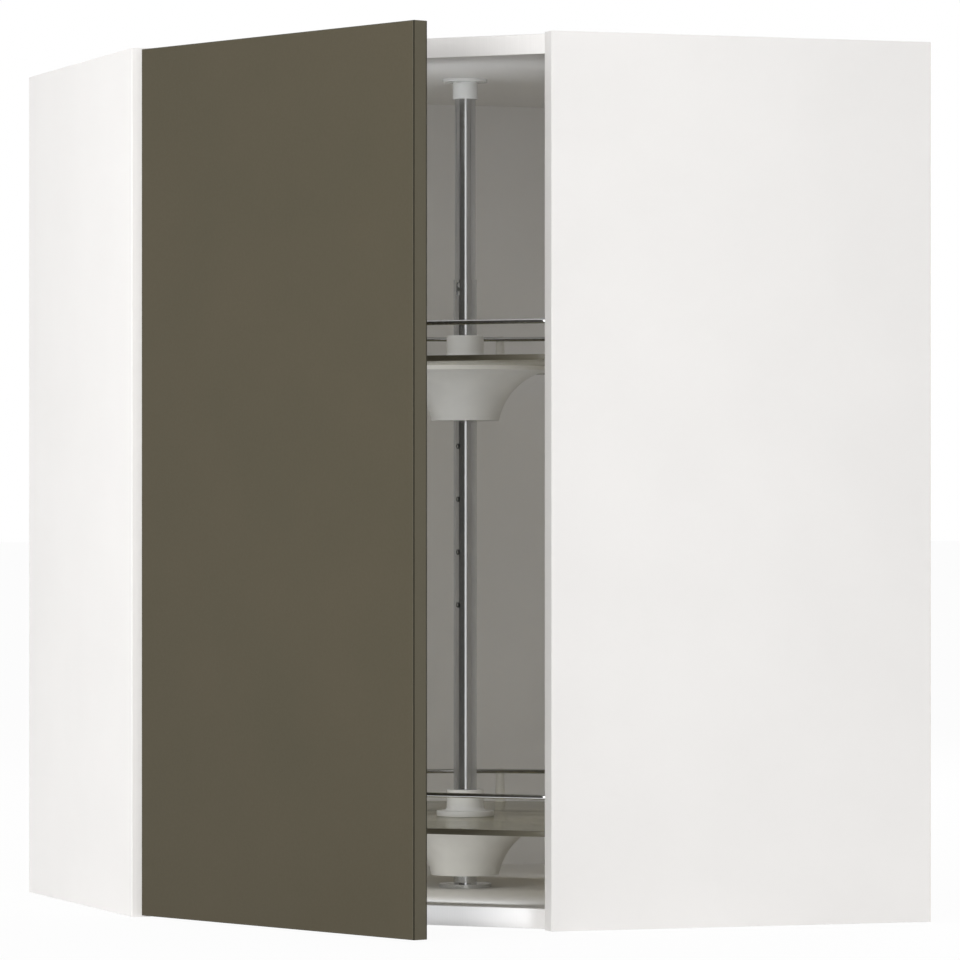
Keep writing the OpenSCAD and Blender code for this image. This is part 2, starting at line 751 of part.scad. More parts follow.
// Cup in the door's back: a thin-walled pot, a flange with a wing, and two ears for the link's pin
module hinge_cup(z) {
    floor_q = door_back - cup_d;
    pin_s = pivot_s + link_r;
    ear_in = link_h / 2 + ear_gap;
    ear_half = link_foot + bevel;
    wing_h = cup_screw_gap + cup_wing_w;
    color(steel) door_turned() difference() {
        union() {
            difference() {
                union() {
                    translate([cup_s, floor_q, z]) rotate([-90, 0, 0]) cylinder(r = cup_r, h = cup_d);
                    translate([cup_s, door_back, z]) rotate([-90, 0, 0])
                        cylinder(r = cup_r + flange_over, h = flange_t);
                    translate([cup_s + cup_screw_in + bevel - cup_wing_w / 2, door_back, z - wing_h / 2])
                        cube([cup_wing_w, flange_t, wing_h]);
                }
                translate([cup_s, floor_q + cup_wall, z]) rotate([-90, 0, 0])
                    cylinder(r = cup_r - cup_wall, h = cup_d + deep);
            }
            for (m = [0, 1]) translate([0, 0, z]) mirror([0, 0, m])
                translate([pin_s - ear_half, floor_q + cup_wall / 2, ear_in])
                    cube([2 * ear_half, pivot_q - floor_q + link_foot, ear_t]);
        }
        translate([pin_s, pivot_q, z - ear_in - ear_t - deep])
            cylinder(r = link_pin_r + seat, h = 2 * (ear_in + ear_t + deep));
        at_cup_screws() countersink(cup_screw_r, cup_screw_len, cup_screw_head_r, flange_t - under_head);
    }
}

module hinge_cup_upper() {
    hinge_cup(hinge_levels[1]);
}

module hinge_cup_lower() {
    hinge_cup(hinge_levels[0]);
}

// Goose-neck link: an arc about the virtual axis, with a foot that stands on the cup's floor
module hinge_link(z) {
    foot_q = door_back - cup_d + cup_wall - pivot_q;
    color(steel) door_turned() translate([pivot_s, pivot_q, z]) difference() {
        union() {
            translate([0, 0, -link_h / 2]) rotate_extrude(angle = link_tail, $fn = 128)
                translate([link_r - link_w / 2, 0]) square([link_w, link_h]);
            translate([link_r - link_foot, foot_q, -link_h / 2])
                cube([2 * link_foot, link_lap - foot_q, link_h]);
        }
        translate([link_r, 0, -link_h]) cylinder(r = link_pin_r + seat, h = 2 * link_h);
    }
}

module hinge_link_upper() {
    hinge_link(hinge_levels[1]);
}

module hinge_link_lower() {
    hinge_link(hinge_levels[0]);
}

module hinge_link_pins() {
    half = link_h / 2 + ear_gap + ear_t;
    color(steel) door_turned() for (z = hinge_levels)
        translate([pivot_s + link_r, pivot_q, z - half]) cylinder(r = link_pin_r, h = 2 * half);
}

module hinge_cup_screws() {
    color(steel) door_turned() at_cup_screws()
        screw(cup_screw_r, cup_screw_len, cup_screw_head_r, flange_t - under_head);
}

// Door board with its edges rounded, and the holes for the cups and their screws
module door_board() {
    w = door_right - door_left;
    color(olive) door_turned() difference() {
        intersection() {
            translate([door_left, door_front, door_reveal]) linear_extrude(door_h)
                rounded_rect(w, door_t, door_round);
            translate([door_right, door_front, door_reveal]) rotate([90, 0, -90])
                linear_extrude(w) translate([-door_t, 0]) rounded_rect(door_t, door_h, door_round);
        }
        for (z = hinge_levels) translate([cup_s, door_back, z]) rotate([-90, 0, 0]) hole(cup_r, cup_d);
        at_cup_screws() hole(cup_screw_r, cup_screw_len);
    }
}

// Small bumpers on the door's back, opposite the front edges of the top and bottom panels
module door_bumpers() {
    color(pale) door_turned() for (z = joint_levels)
        translate([door_right - bumper_in, door_back, z]) rotate([-90, 0, 0])
            cylinder(r1 = bumper_r, r2 = bumper_r - bumper_t / 2, h = bumper_t);
}

// Three places around the pole
module at_ring(r) {
    for (a = [0 : 120 : 240]) rotate([0, 0, a + ring_turn]) translate([r, 0, 0]) children();
}

module at_base_screws() {
    at_ring(base_screw_r) translate([0, 0, tube_foot]) children();
}

module at_top_screws() {
    at_ring(plate_screw_ring) translate([0, 0, plate_under]) mirror([0, 0, 1]) children();
}

// Base disc with the spigot that the lower tube stands on
module pole_base() {
    color(chrome) difference() {
        union() {
            translate([0, 0, board_t]) cylinder(r = base_r, h = base_t);
            translate([0, 0, board_t]) cylinder(r = lower_bore - seat, h = base_t + spigot_h);
        }
        at_base_screws() countersink(small_screw_r, small_screw_len, small_screw_head_r, base_t - bevel);
    }
}

module pole_base_screws() {
    color(steel) at_base_screws()
        screw(small_screw_r, small_screw_len, small_screw_head_r, base_t - bevel);
}

// Lower tube, with the cross holes for the pins, the row of peg holes and the lock slot near its top
module pole_lower_tube() {
    pegs = [for (i = [0 : peg_count - 1]) peg_first + i * peg_pitch];
    pins = [lower_tray_z - pin_drop, upper_tray_z - pin_drop];
    slot_half = (slot_h - slot_w) / 2;
    color(chrome) difference() {
        translate([0, 0, tube_foot]) cylinder(r = pole_r, h = pole_lower_top - tube_foot);
        translate([0, 0, tube_foot - deep])
            cylinder(r = lower_bore, h = pole_lower_top - tube_foot + 2 * deep);
        for (z = concat(pegs, pins)) translate([0, 0, z]) rotate([0, 90, peg_az])
            translate([0, 0, -pole_r - deep]) cylinder(r = peg_hole_r, h = 2 * (pole_r + deep));
        rotate([0, 0, peg_az]) {
            for (dz = [-1, 1] * slot_half) translate([0, 0, slot_mid + dz]) rotate([0, 90, 0])
                cylinder(r = slot_w / 2, h = pole_r + deep);
            translate([0, -slot_w / 2, slot_mid - slot_half]) cube([pole_r + deep, slot_w, 2 * slot_half]);
        }
    }
}

// Upper tube, which slides in the lower tube so that the pole fits the cabinet's height
module pole_upper_tube() {
    low = pole_lower_top - pole_overlap;
    color(chrome) difference() {
        translate([0, 0, low]) cylinder(r = upper_r, h = plate_under - low);
        translate([0, 0, low - deep]) cylinder(r = upper_bore, h = plate_under - low + 2 * deep);
        translate([0, 0, slot_mid]) rotate([0, 90, peg_az]) cylinder(r = lock_r + seat, h = pole_r);
    }
}

// Set screw in the lock slot, threaded into the upper tube
module pole_lock_screw() {
    tip = upper_bore - bevel;
    head = upper_r + seat;
    color(steel) translate([0, 0, slot_mid]) rotate([0, 90, peg_az]) difference() {
        union() {
            translate([0, 0, tip]) cylinder(r = lock_r, h = pole_r - tip);
            translate([0, 0, head]) cylinder(r = slot_w / 2 - lock_play, h = pole_r - head);
        }
        translate([-slot_w, -cross_w / 2, pole_r - bevel / 2]) cube([2 * slot_w, cross_w, bevel]);
    }
}

// White cap around the upper tube, with a small notch under the plate
module pole_top_cap() {
    color(white) difference() {
        translate([0, 0, cap_under]) cylinder(r = cap_r, h = cap_h);
        translate([0, 0, cap_under - deep]) cylinder(r = upper_r + seat, h = cap_h + 2 * deep);
        rotate([0, 0, peg_az])
            translate([upper_r + cap_notch_wall, -cap_notch_w / 2, plate_under - cap_notch_h])
                cube([cap_r, cap_notch_w, cap_notch_h]);
    }
}

// Plate under the ceiling, with the plug that centres the upper tube
module pole_top_plate() {
    color(white) difference() {
        union() {
            translate([0, 0, plate_under]) cylinder(r = plate_r, h = plate_thick);
            translate([0, 0, plate_under - plate_spigot_h])
                cylinder(r = upper_bore - seat, h = plate_spigot_h + plate_thick);
        }
        at_top_screws() countersink(small_screw_r, small_screw_len, small_screw_head_r, plate_thick - bevel);
    }
}

module pole_top_screws() {
    color(steel) at_top_screws()
        screw(small_screw_r, small_screw_len, small_screw_head_r, plate_thick - bevel);
}

// Places of the cross pins, one under each tray
module at_pins() {
    for (z = [lower_tray_z, upper_tray_z]) translate([0, 0, z - pin_drop]) children();
}

module tray_pins() {
    pin_half = hub_r - bevel;
    color(steel) at_pins() rotate([0, 90, peg_az]) translate([0, 0, -pin_half])
        cylinder(r = pin_r, h = 2 * pin_half);
}

// Plastic thrust rings that lie on the cross pins, notched so that they can't turn
module thrust_rings() {
    color(grey) at_pins() difference() {
        cylinder(r = ring_r, h = pin_r + ring_h);
        translate([0, 0, -deep]) cylinder(r = hub_bore, h = pin_r + ring_h + 2 * deep);
        rotate([0, 90, peg_az]) translate([0, 0, -hub_r]) cylinder(r = pin_r + seat, h = 2 * hub_r);
    }
}

// D shape about the pole: a circle cut by a flat towards the front, with rounded corners
module d_shape(r, flat, corner) {
    x = sqrt(pow(r - corner, 2) - pow(flat - corner, 2));
    y = -(flat - corner);
    far = 2 * r;
    k = far / (r - corner);
    rotate([0, 0, -45]) {
        intersection() {
            circle(r, $fn = 180);
            polygon([[-x, -flat], [x, -flat], [x, y], [x * k, y * k],
                     [far, far], [-far, far], [-x * k, y * k], [-x, y]]);
        }
        for (m = [-1, 1]) translate([m * x, y]) circle(corner);
    }
}

module at_posts() {
    rotate([0, 0, -45]) for (a = post_angles) rotate([0, 0, a]) translate([rail_r + post_out, 0, 0])
        children();
}

module at_tray_screws() {
    for (a = [0 : 120 : 240]) rotate([0, 0, a + tray_screw_turn]) translate([screw_ring, 0, 0]) children();
}

// Glass tray with the holes for the pole, the hub's screws and the rail posts
module tray(z) {
    color(smoke) translate([0, 0, z - tray_t]) difference() {
        linear_extrude(tray_t) d_shape(tray_r, tray_flat, tray_corner);
        translate([0, 0, -deep]) cylinder(r = hub_bore + bevel, h = tray_t + 2 * deep);
        at_tray_screws() translate([0, 0, -deep]) cylinder(r = tray_screw_r + seat, h = tray_t + 2 * deep);
        at_posts() translate([0, 0, -deep]) cylinder(r = post_spigot_r + seat, h = tray_t + 2 * deep);
    }
}

// Closed wire rail: one long arc, two bends and a straight run along the flat.
// The bends are a hair slimmer and run a little way into their neighbours.
module rail(z) {
    bend_y = -(rail_flat - rail_bend);
    color(chrome) translate([0, 0, z + rail_up]) rotate([0, 0, -45]) {
        rotate([0, 0, rail_turn]) rotate_extrude(angle = 180 - 2 * rail_turn, $fn = 180)
            translate([rail_r, 0]) circle(wire_r, $fn = 24);
        for (m = [0, 1]) mirror([m, 0, 0]) translate([rail_x, bend_y, 0]) rotate([0, 0, -90 - bend_lap])
            rotate_extrude(angle = 90 + rail_turn + 2 * bend_lap, $fn = 96)
                translate([rail_bend, 0]) circle(wire_r - bend_slim, $fn = 24);
        translate([-rail_x, -rail_flat, 0]) rotate([0, 90, 0]) cylinder(r = wire_r, h = 2 * rail_x, $fn = 24);
    }
}

// Rail posts: foot, tapered stem with a side groove for the wire, and a spigot through the tray
module rail_posts(z) {
    color(pale) translate([0, 0, z]) at_posts() difference() {
        union() {
            cylinder(r = foot_r, h = foot_h - bevel);
            translate([0, 0, foot_h - bevel]) cylinder(r1 = foot_r, r2 = post_base_r, h = bevel);
            cylinder(r1 = post_base_r, r2 = post_r, h = post_top - bevel);
            translate([0, 0, post_top - bevel]) cylinder(r1 = post_r, r2 = post_r - bevel, h = bevel);
            translate([0, 0, -tray_t]) cylinder(r = post_spigot_r, h = tray_t + bevel);
        }
        translate([-post_out, 0, rail_up]) rotate([90, 0, 0]) translate([0, 0, -foot_r])
            cylinder(r = wire_r + 2 * seat, h = 2 * foot_r);
    }
}

// Collar above a tray: a sleeve and a flange with a round fillet between them
module collar(z) {
    fillet_at = [collar_r, collar_flange_t];
    color(pale) translate([0, 0, z]) difference() {
        union() {
            cylinder(r = collar_r, h = collar_h);
            cylinder(r = collar_flange_r, h = collar_flange_t);
            rotate_extrude() difference() {
                translate(fillet_at - [bevel, bevel]) square(collar_fillet + bevel);
                translate(fillet_at + [collar_fillet, collar_fillet]) circle(collar_fillet);
            }
        }
        translate([0, 0, -deep]) cylinder(r = hub_bore, h = collar_h + 2 * deep);
        at_tray_screws() translate([0, 0, -deep])
            cylinder(r = tray_screw_r + seat, h = tray_screw_bite + deep);
    }
}

// Funnel below a tray: a trumpet-shaped shell, its flat rim, a web, the hub and ribs between them
module funnel(z) {
    flare = rim_r - throat_r;
    rise = funnel_h - rim_t / 2;
    bow = (flare * flare + rise * rise) / (2 * rise);
    mid_z = -rim_t / 2 - bow;
    hub_low = -(pin_drop - tray_t) + pin_r + ring_h + ring_gap;
    rib_low = -web_t - rib_depth;
    rib_end = rim_r - sqrt(pow(bow + funnel_wall / 2, 2) - pow(rib_low - mid_z, 2));
    color(pale) translate([0, 0, z - tray_t]) difference() {
        union() {
            rotate_extrude($fn = 96) intersection() {
                translate([throat_r - 2 * funnel_wall, -funnel_h])
                    square([flare + 2 * funnel_wall, funnel_h]);
                difference() {
                    translate([rim_r, mid_z]) circle(bow + funnel_wall, $fn = 180);
                    translate([rim_r, mid_z]) circle(bow, $fn = 180);
                }
            }
            translate([0, 0, -rim_t]) ring(rim_r, rim_r - rim_w, rim_t);
            translate([0, 0, -web_t]) cylinder(r = rim_r - web_in, h = web_t);
            translate([0, 0, hub_low]) cylinder(r = hub_r, h = -hub_low);
            for (i = [0 : rib_count - 1]) rotate([0, 0, i * 360 / rib_count + rib_turn])
                translate([hub_r - bevel, -rib_t / 2, rib_low])
                    cube([rib_end - hub_r + bevel, rib_t, rib_depth + bevel]);
        }
        translate([0, 0, hub_low - deep]) cylinder(r = hub_bore, h = 2 * deep - hub_low);
        at_tray_screws() translate([0, 0, -web_t - deep])
            cylinder(r = tray_screw_r + seat, h = web_t + 2 * deep);
    }
}

module ring(outer, inside, h) {
    difference() {
        cylinder(r = outer, h = h);
        translate([0, 0, -deep]) cylinder(r = inside, h = h + 2 * deep);
    }
}

// Screws from below through the funnel's web and the tray into the collar
module tray_screws(z) {
    screw_len = web_t + tray_t + tray_screw_bite - tray_screw_end;
    color(steel) translate([0, 0, z - tray_t - web_t]) at_tray_screws() mirror([0, 0, 1])
        pan_screw(tray_screw_r, screw_len, tray_screw_head_r, tray_screw_head_h);
}

module lower_tray() {
    tray(lower_tray_z);
}

module lower_rail() {
    rail(lower_tray_z);
}

module lower_rail_posts() {
    rail_posts(lower_tray_z);
}

module lower_collar() {
    collar(lower_tray_z);
}

module lower_funnel() {
    funnel(lower_tray_z);
}

module lower_tray_screws() {
    tray_screws(lower_tray_z);
}

module upper_tray() {
    tray(upper_tray_z);
}

module upper_rail() {
    rail(upper_tray_z);
}

module upper_rail_posts() {
    rail_posts(upper_tray_z);
}

module upper_collar() {
    collar(upper_tray_z);
}

module upper_funnel() {
    funnel(upper_tray_z);
}

module upper_tray_screws() {
    tray_screws(upper_tray_z);
}

side_panel_left();
side_panel_right();
side_edging_left();
side_edging_right();
top_panel();
bottom_panel();
top_edging();
bottom_edging();
back_panel_left();
back_panel_right();
back_corner_strip();
panel_dowels();
cam_locks();
cam_bolts();
hanging_bracket_left();
hanging_bracket_right();
hanging_screws();
hinge_plate_upper();
hinge_plate_lower();
hinge_arm_upper();
hinge_arm_lower();
hinge_plate_screws();
hinge_arm_screws();
pole_base();
pole_base_screws();
pole_lower_tube();
pole_upper_tube();
pole_lock_screw();
pole_top_cap();
pole_top_plate();
pole_top_screws();
tray_pins();
thrust_rings();
door_board();
hinge_cup_upper();
hinge_cup_lower();
hinge_link_upper();
hinge_link_lower();
hinge_link_pins();
hinge_cup_screws();
door_bumpers();
lower_tray();
lower_rail();
lower_rail_posts();
lower_collar();
lower_funnel();
lower_tray_screws();
upper_tray();
upper_rail();
upper_rail_posts();
upper_collar();
upper_funnel();
upper_tray_screws();
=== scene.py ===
"""Finishes and small fittings of a diagonal corner wall cabinet with a two-tray carousel."""
import json
import math

import bpy
from bpy.props import FloatProperty, PointerProperty, StringProperty
from mathutils import Matrix, Vector


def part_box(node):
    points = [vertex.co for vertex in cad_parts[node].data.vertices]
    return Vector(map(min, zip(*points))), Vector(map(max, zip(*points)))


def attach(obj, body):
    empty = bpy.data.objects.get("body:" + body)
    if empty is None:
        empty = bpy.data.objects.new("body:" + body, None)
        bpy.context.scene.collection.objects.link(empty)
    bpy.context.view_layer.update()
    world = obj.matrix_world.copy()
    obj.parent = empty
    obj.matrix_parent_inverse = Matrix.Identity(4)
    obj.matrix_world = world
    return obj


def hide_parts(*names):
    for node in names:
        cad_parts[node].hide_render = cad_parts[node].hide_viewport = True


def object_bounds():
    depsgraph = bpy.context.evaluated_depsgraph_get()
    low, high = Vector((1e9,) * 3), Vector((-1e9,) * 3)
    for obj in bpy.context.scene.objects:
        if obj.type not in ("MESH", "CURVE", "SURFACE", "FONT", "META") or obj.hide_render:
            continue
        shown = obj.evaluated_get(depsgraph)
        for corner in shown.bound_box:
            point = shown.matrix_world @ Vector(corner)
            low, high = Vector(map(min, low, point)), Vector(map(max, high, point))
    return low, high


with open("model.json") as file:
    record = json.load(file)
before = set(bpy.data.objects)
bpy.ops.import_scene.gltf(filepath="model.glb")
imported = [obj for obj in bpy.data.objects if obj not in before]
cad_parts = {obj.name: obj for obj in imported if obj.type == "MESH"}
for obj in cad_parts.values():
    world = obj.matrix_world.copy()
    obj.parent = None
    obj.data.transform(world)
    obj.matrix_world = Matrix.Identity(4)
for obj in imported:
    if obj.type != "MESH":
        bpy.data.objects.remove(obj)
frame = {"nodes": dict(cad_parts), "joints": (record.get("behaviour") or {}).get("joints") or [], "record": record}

bl_info = {
    "name": "Corner Wall Cabinet",
    "version": (1, 0, 0),
    "blender": (4, 5, 0),
    "location": "View3D > Sidebar > Cabinet",
    "description": "Dresses a corner wall cabinet with its finishes, hinge fittings and studio",
    "category": "Object",
}

MM = 0.001
SCREW_HEAD = 1.4 * MM
# How far behind the arm's back end the two adjusting screws sit
ADJUSTER_INSETS = (("depth", 5.7 * MM), ("side", 23.5 * MM))
# Slack when a face is tested for lying at a limit
FACE_SLACK = 0.2 * MM
MERGE_DISTANCE = 0.005 * MM
FLAT_ANGLE = math.radians(0.2)
SHARP_ANGLE = math.radians(40)
SMOOTH_ANGLE = math.radians(35)
EASED_STEEL = ("hanging_bracket_left", "hanging_bracket_right", "hinge_plate_upper",
               "hinge_plate_lower", "hinge_arm_upper", "hinge_arm_lower", "hinge_cup_upper",
               "hinge_cup_lower")
# The camera that was fitted to the photograph's straight edges
CAMERA_PLACE = (-1.7569, -5.0228, 0.3665)
CAMERA_YAW = math.radians(-19.43)
SENSOR_WIDTH = 36
FLOOR_SIZE = 160
FLOOR_DROP = 1 * MM
# Large lamps: name, place and the property with the power
SOFT_BOX = (1.6, 1.8)
SOFT_BOX_AIM = (0.0, 0.0, 0.5)
LARGE_LAMPS = (("front_lamp", (-2.296, -2.641, 0.95), "front"),
               ("left_lamp", (-3.0, -1.803, 0.95), "left"),
               ("back_lamp", (2.0, 2.0, 2.4), "back"))
# Small lamps: name, place, aim, width and height, the property with the power and the share of it
SMALL_LAMP_COLOUR = "#F6FAFF"
SMALL_LAMPS = (
    ("inside_lamp", (-0.142, -0.142, 0.38), (0.0, 0.0, 0.38), (0.3, 0.7), "inside", 1.0),
    ("ceiling_lamp", (-0.142, -0.142, 0.66), (0.05, 0.05, 0.8), (0.3, 0.1), "nook", 1.2),
    ("low_lamp", (-0.142, -0.142, 0.13), (0.0, 0.0, 0.11), (0.3, 0.06), "nook", 0.7),
    ("bottom_lamp", (-0.142, -0.142, 0.05), (0.05, 0.05, 0.0), (0.3, 0.04), "nook", 0.7),
    ("corner_lamp", (0.1, 0.1, 0.07), (0.3, 0.3, 0.05), (0.25, 0.02), "nook", 0.25),
    ("edge_lamp", (-0.1736, -0.1736, 0.016), (0.0, 0.0, 0.016), (0.36, 0.028), "rim", 1.0))
NODES = frame["nodes"]
CAD_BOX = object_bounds()
JOINTS = {joint["name"]: joint for joint in frame["joints"]}

# The door hangs on this upright axis and stands open at rest, so its own frame is turned
DOOR_AXIS = Vector(JOINTS["door_hinge"]["pos_m"])
DOOR_OPEN = -JOINTS["door_hinge"]["range_deg"][0]
DOOR_TURN = math.radians(-45 - DOOR_OPEN)


# Properties: what a user would change

class CabinetFinishes(bpy.types.PropertyGroup):
    """Colours of the cabinet's finishes, as sRGB hex values"""
    board: StringProperty(
        name="Boards", description="Melamine foil on the cabinet's panels", default="#F4F2F0")
    edging: StringProperty(
        name="Edging", description="Plastic edging on the panels' front edges", default="#F2F0EE")
    door: StringProperty(
        name="Door front", description="Super matte lacquer on the door", default="#4B4536")
    # Painted light: the edge band is painted lighter than the front, to make up for the lamps lighting the door's
    # sides less than its front
    door_edge_lightened: StringProperty(
        name="Door edge", description="Edge band around the door", default="#615C4D")
    # A dark line painted round the door's edges, just behind the front
    door_edge_line: StringProperty(
        name="Door seam", description="Joint line between front and edge band", default="#2B281B")
    chrome: StringProperty(
        name="Chrome", description="Plating of the pole and the rails", default="#D9DADB")
    steel: StringProperty(
        name="Steel", description="Nickel-plated fittings", default="#B4B5B3")
    plastic: StringProperty(
        name="Hubs", description="Moulded plastic of the hubs and posts", default="#ECEAE5")
    cap: StringProperty(
        name="Pole cap", description="Glossy white plastic at the pole's top", default="#F6F6F4")
    glass: StringProperty(
        name="Trays", description="Tint of the trays' glass", default="#A8A283")
    glass_pass: StringProperty(
        name="Light through trays", description="What one face of a tray lets through",
        default="#ECE9E0")
    glass_edge: StringProperty(
        name="Tray edge", description="Colour seen in the glass edge", default="#746F5F")
    sliding: StringProperty(
        name="Thrust rings", description="Grey sliding plastic", default="#A9A9A6")
    beech: StringProperty(
        name="Dowels", description="Beech of the dowels", default="#CFB088")
    chips: StringProperty(
        name="Bare board", description="Raw particle board on the edges at the wall", default="#C3A67B")
    fibre: StringProperty(
        name="Back panels' rear", description="Bare fibreboard behind the back panels",
        default="#7B5B3C")


class CabinetSizes(bpy.types.PropertyGroup):
    """Sizes of the fittings that the finishes add"""
    # How far behind the door's front the painted dark line lies, and how wide the edges that take the edge band's
    # colour are
    band: FloatProperty(
        name="Seam depth", description="How far behind the door's front the edge band's joint lies",
        default=0.9 * MM, min=0.0, max=3 * MM, unit="LENGTH")
    # Half the width of the dark line painted round the door's edges
    seam: FloatProperty(
        name="Seam width", description="Half the width of the joint line as it shows",
        default=0.75 * MM, min=0.1 * MM, max=2 * MM, unit="LENGTH")
    arris: FloatProperty(
        name="Glass edge", description="Width of the ground arris around a tray",
        default=0.8 * MM, min=0.2 * MM, max=2 * MM, unit="LENGTH")
    plastic_edge: FloatProperty(
        name="Plastic edges", description="Rounding of the moulded pieces' edges",
        default=0.7 * MM, min=0.2 * MM, max=1 * MM, unit="LENGTH")
    sheet_edge: FloatProperty(
        name="Sheet edges", description="Rounding of the pressed steel's edges",
        default=0.35 * MM, min=0.1 * MM, max=0.5 * MM, unit="LENGTH")
    adjuster: FloatProperty(
        name="Adjusting screw", description="Head radius of a hinge's adjusting screws",
        default=2.6 * MM, min=2 * MM, max=3 * MM, unit="LENGTH")


class CabinetStage(bpy.types.PropertyGroup):
    """Camera and light of the studio"""
    focal: FloatProperty(
        name="Focal length", description="Lens, for a sensor 36 mm wide",
        default=210.8, min=20, max=400, subtype="DISTANCE_CAMERA")
    shift: FloatProperty(
        name="Shift", description="Upward shift of the frame, in frame widths", default=0.0404)
    sky: FloatProperty(
        name="Room light", description="Strength of the even light from all round", default=0.28, min=0)
    front: FloatProperty(
        name="Front light", description="Power of the large lamp in front", default=67.5, min=0,
        unit="POWER")
    left: FloatProperty(
        name="Left light", description="Power of the large lamp at the left", default=26.5, min=0,
        unit="POWER")
    inside: FloatProperty(
        name="Inside light", description="Power of the lamp that fills the opening", default=0.45, min=0,
        unit="POWER")
    nook: FloatProperty(
        name="Nook light", description="Power of the small lamps by the ceiling and the bottom",
        default=0.095, min=0, unit="POWER")
    rim: FloatProperty(
        name="Rim light", description="Power of the strip that lights the bottom's front edge",
        default=0.02, min=0, unit="POWER")
    back: FloatProperty(
        name="Back light", description="Power of the lamp above the corner, for the back and the top",
        default=55, min=0, unit="POWER")
    backdrop: FloatProperty(
        name="Floor's own white", description="Share of the floor's white that doesn't take shadow",
        default=0.96, min=0, max=1, subtype="FACTOR")
    bounce: FloatProperty(
        name="Floor's own light",
        description="Share of the floor's light on the object that it gives itself",
        default=0.15, min=0, max=1, subtype="FACTOR")


# Helpers

def linear(hex_colour):
    """An sRGB hex value as linear red, green, blue and alpha"""
    parts = [int(hex_colour[i:i + 2], 16) / 255 for i in (1, 3, 5)]
    return tuple(c / 12.92 if c <= 0.04045 else ((c + 0.055) / 1.055) ** 2.4 for c in parts) + (1.0,)


def add_node(tree, kind, inputs=(), **settings):
    """Adds a node, with its settings, and its inputs set or linked"""
    node = tree.nodes.new(kind)
    for name, value in settings.items():
        setattr(node, name, value)
    for socket, value in dict(inputs).items():
        if isinstance(value, bpy.types.NodeSocket):
            tree.links.new(value, node.inputs[socket])
        else:
            node.inputs[socket].default_value = value
    return node


def new_finish(name):
    """An empty material and its node tree"""
    finish = bpy.data.materials.new(name)
    finish.use_nodes = True
    finish.node_tree.nodes.clear()
    return finish, finish.node_tree


def close_finish(tree, shader):
    """Links the last shader to the material's output"""
    add_node(tree, "ShaderNodeOutputMaterial", {"Surface": shader.outputs[0]})


def grain(tree, coords, size, detail=2.0, rough=0.5):
    """Noise whose blobs are about the given size in metres"""
    return add_node(tree, "ShaderNodeTexNoise", {
        "Vector": coords, "Scale": 1 / size, "Detail": detail, "Roughness": rough}).outputs["Fac"]


def spread(tree, value, low, high):
    """Maps a noise value onto a range"""
    return add_node(tree, "ShaderNodeMapRange", {
        "Value": value, "From Min": 0.3, "From Max": 0.7, "To Min": low, "To Max": high}).outputs[0]


def tinted(tree, factor, first, second):
    """Blends two colours, given as hex values or sockets"""
    pick = [linear(c) if isinstance(c, str) else c for c in (first, second)]
    return add_node(tree, "ShaderNodeMix", {0: factor, 6: pick[0], 7: pick[1]},
                    data_type="RGBA").outputs[2]


def math_node(tree, operation, *values):
    """One Math node"""
    return add_node(tree, "ShaderNodeMath", dict(enumerate(values)), operation=operation).outputs[0]


def shade(hex_colour, share):
    """A hex colour made lighter or darker by a share"""
    parts = [int(hex_colour[i:i + 2], 16) for i in (1, 3, 5)]
    return "#" + "".join(f"{max(0, min(255, round(c * share))):02X}" for c in parts)


def dress(finish, *nodes):
    """Gives CAD nodes a finish"""
    for name in nodes:
        slots = NODES[name].data.materials
        slots.clear()
        slots.append(finish)


def begin(add, name, **settings):
    """Adds a primitive as the only selected object"""
    bpy.ops.object.select_all(action="DESELECT")
    add(**settings)
    piece = bpy.context.active_object
    piece.name = name
    piece.data.name = name
    return piece


def settle(piece, finish, body):
    """Applies a piece's place, gives it its finish and fixes it to its body"""
    bpy.ops.object.select_all(action="DESELECT")
    piece.select_set(True)
    bpy.context.view_layer.objects.active = piece
    bpy.ops.object.transform_apply(location=True, rotation=True, scale=True)
    piece.data.materials.clear()
    piece.data.materials.append(finish)
    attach(piece, body)


# Finishes

def wallward(tree, coords, limit):
    """1 on the faces that lie past a limit towards either wall of the room"""
    place = add_node(tree, "ShaderNodeSeparateXYZ", {0: coords})
    reach = math_node(tree, "MAXIMUM", place.outputs["X"], place.outputs["Y"])
    return math_node(tree, "GREATER_THAN", reach, limit - FACE_SLACK)


def melamine_board(colour, chips):
    """Particle board faced with white melamine foil, pressed with a fine pearl texture"""
    finish, tree = new_finish("melamine_board")
    coords = add_node(tree, "ShaderNodeTexCoord").outputs["Object"]
    # The real pearl is about 0.5 mm across, drawn at 1.6 mm so that it shows
    pearl = grain(tree, coords, 1.6 * MM, 1.0)
    cloud = grain(tree, coords, 90 * MM, 2.0)
    tone = tinted(tree, spread(tree, cloud, 0.0, 1.0), colour, shade(colour, 0.992))
    # The edges at the wall have no foil: flakes of about 2.5 mm show there
    flakes = add_node(tree, "ShaderNodeTexVoronoi", {"Vector": coords, "Scale": 1 / (2.5 * MM)})
    core = tinted(tree, flakes.outputs["Color"], chips, shade(chips, 0.72))
    bare = wallward(tree, coords, CAD_BOX[1].x)
    bump = add_node(tree, "ShaderNodeBump", {"Height": pearl, "Distance": 0.05 * MM, "Strength": 0.35})
    shader = add_node(tree, "ShaderNodeBsdfPrincipled", {
        "Base Color": tinted(tree, bare, tone, core),
        "Roughness": math_node(tree, "MULTIPLY_ADD", bare, 0.3, spread(tree, pearl, 0.42, 0.52)),
        "IOR": 1.5, "Normal": bump.outputs[0]})
    close_finish(tree, shader)
    return finish


